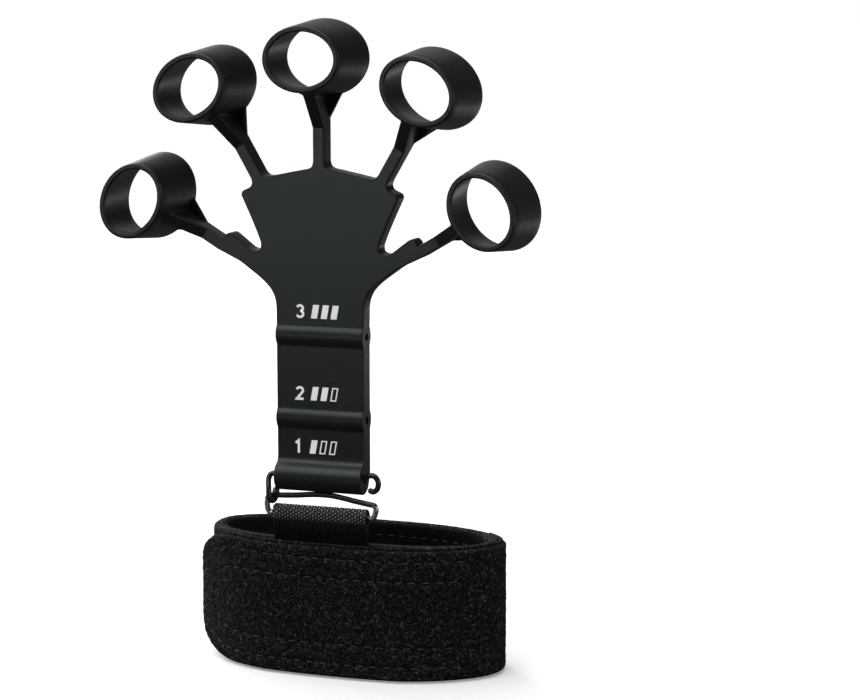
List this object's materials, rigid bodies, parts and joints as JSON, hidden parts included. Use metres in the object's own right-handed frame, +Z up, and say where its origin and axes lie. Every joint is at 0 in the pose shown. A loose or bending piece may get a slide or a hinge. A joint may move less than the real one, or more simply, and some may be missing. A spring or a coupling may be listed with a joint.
{
  "type": "finger exerciser",
  "caption": "Silicone finger stretcher: palm plate with arms and tapered finger loops on a sleeved stem, tied by a wire latch and webbing to a wrist strap.",
  "frame": {"origin": "centre of the bounding box's bottom face, on the strap's lower edge and on the moulding's mirror plane", "axes": "+Z up along the stem towards the middle loop, -Y out of the front face that carries the level marks, +X to the little finger's side"},
  "size_m": [0.1324, 0.051, 0.1973],
  "materials": {
    "silicone": "matte black silicone with fine moulded texture",
    "wire": "black-coated steel wire, worn bright at the bends",
    "webbing": "black twill webbing",
    "pile": "black loop pile",
    "foam": "black foam",
    "lining": "smooth black lining",
    "hook": "black hook tape"
  },
  "bodies": {
    "strap": {"strap_pile": "pile", "strap_foam": "foam", "strap_lining": "lining", "webbing_tail": "webbing"},
    "flap": {"strap_flap": "pile", "hook_patch": "hook"},
    "webbing": {"webbing_loop": "webbing"},
    "ring": {"buckle_ring": "wire"},
    "latch": {"latch_wire": "wire"},
    "stem_low": {"stem_low": "silicone"},
    "stem_mid": {"stem_mid": "silicone"},
    "palm": {"palm_plate": "silicone"},
    "arm_thumb": {"arm_thumb": "silicone"},
    "loop_thumb": {"loop_thumb": "silicone"},
    "arm_index": {"arm_index": "silicone"},
    "loop_index": {"loop_index": "silicone"},
    "arm_middle": {"arm_middle": "silicone"},
    "loop_middle": {"loop_middle": "silicone"},
    "arm_ring": {"arm_ring": "silicone"},
    "loop_ring": {"loop_ring": "silicone"},
    "arm_little": {"arm_little": "silicone"},
    "loop_little": {"loop_little": "silicone"}
  },
  "joints": [
    {"name": "flap_peel", "type": "hinge", "parent": "strap", "child": "flap", "pos_m": [0.05082, 0.00426, 0.0207], "axis": [0, 0, 1], "range_deg": [0, 110]},
    {"name": "webbing_fold", "type": "hinge", "parent": "strap", "child": "webbing", "pos_m": [0, -0.01105, 0.0436], "axis": [1, 0, 0], "range_deg": [-20, 60], "stiffness_Nm_per_rad": 0.02},
    {"name": "ring_turn", "type": "hinge", "parent": "webbing", "child": "ring", "pos_m": [0, -0.01105, 0.0497], "axis": [1, 0, 0], "range_deg": [-20, 30]},
    {"name": "latch_swing", "type": "hinge", "parent": "ring", "child": "latch", "pos_m": [-0.0179, -0.01105, 0.05205], "axis": [0, 1, 0], "range_deg": [-20, 0]},
    {"name": "sleeve_turn", "type": "hinge", "parent": "latch", "child": "stem_low", "pos_m": [0, -0.01035, 0.0607], "axis": [1, 0, 0], "range_deg": [-25, 40]},
    {"name": "stem_flex_low", "type": "hinge", "parent": "stem_low", "child": "stem_mid", "pos_m": [0, -0.00505, 0.0739], "axis": [1, 0, 0], "range_deg": [-20, 0], "stiffness_Nm_per_rad": 0.3},
    {"name": "stem_flex_high", "type": "hinge", "parent": "stem_mid", "child": "palm", "pos_m": [0, -0.00505, 0.0935], "axis": [1, 0, 0], "range_deg": [-20, 0], "stiffness_Nm_per_rad": 0.3},
    {"name": "thumb_stretch", "type": "slide", "parent": "palm", "child": "arm_thumb", "axis": [-0.8572, 0, 0.515], "range_m": [0, 0.015], "stiffness_N_per_m": 600},
    {"name": "thumb_bend", "type": "hinge", "parent": "arm_thumb", "child": "loop_thumb", "pos_m": [-0.03661, -0.00475, 0.13309], "axis": [-0.515, 0, -0.8572], "range_deg": [0, 75], "stiffness_Nm_per_rad": 0.03},
    {"name": "index_stretch", "type": "slide", "parent": "palm", "child": "arm_index", "axis": [-0.5, 0, 0.866], "range_m": [0, 0.015], "stiffness_N_per_m": 600},
    {"name": "index_bend", "type": "hinge", "parent": "arm_index", "child": "loop_index", "pos_m": [-0.0249, -0.00475, 0.15953], "axis": [-0.866, 0, -0.5], "range_deg": [0, 75], "stiffness_Nm_per_rad": 0.03},
    {"name": "middle_stretch", "type": "slide", "parent": "palm", "child": "arm_middle", "axis": [0, 0, 1], "range_m": [0, 0.015], "stiffness_N_per_m": 600},
    {"name": "middle_bend", "type": "hinge", "parent": "arm_middle", "child": "loop_middle", "pos_m": [0, -0.00475, 0.1654], "axis": [-1, 0, 0], "range_deg": [0, 75], "stiffness_Nm_per_rad": 0.03},
    {"name": "ring_stretch", "type": "slide", "parent": "palm", "child": "arm_ring", "axis": [0.5, 0, 0.866], "range_m": [0, 0.015], "stiffness_N_per_m": 600},
    {"name": "ring_bend", "type": "hinge", "parent": "arm_ring", "child": "loop_ring", "pos_m": [0.0249, -0.00475, 0.15953], "axis": [-0.866, 0, 0.5], "range_deg": [0, 75], "stiffness_Nm_per_rad": 0.03},
    {"name": "little_stretch", "type": "slide", "parent": "palm", "child": "arm_little", "axis": [0.8572, 0, 0.515], "range_m": [0, 0.015], "stiffness_N_per_m": 600},
    {"name": "little_bend", "type": "hinge", "parent": "arm_little", "child": "loop_little", "pos_m": [0.03661, -0.00475, 0.13309], "axis": [-0.515, 0, 0.8572], "range_deg": [0, 75], "stiffness_Nm_per_rad": 0.03}
  ]
}
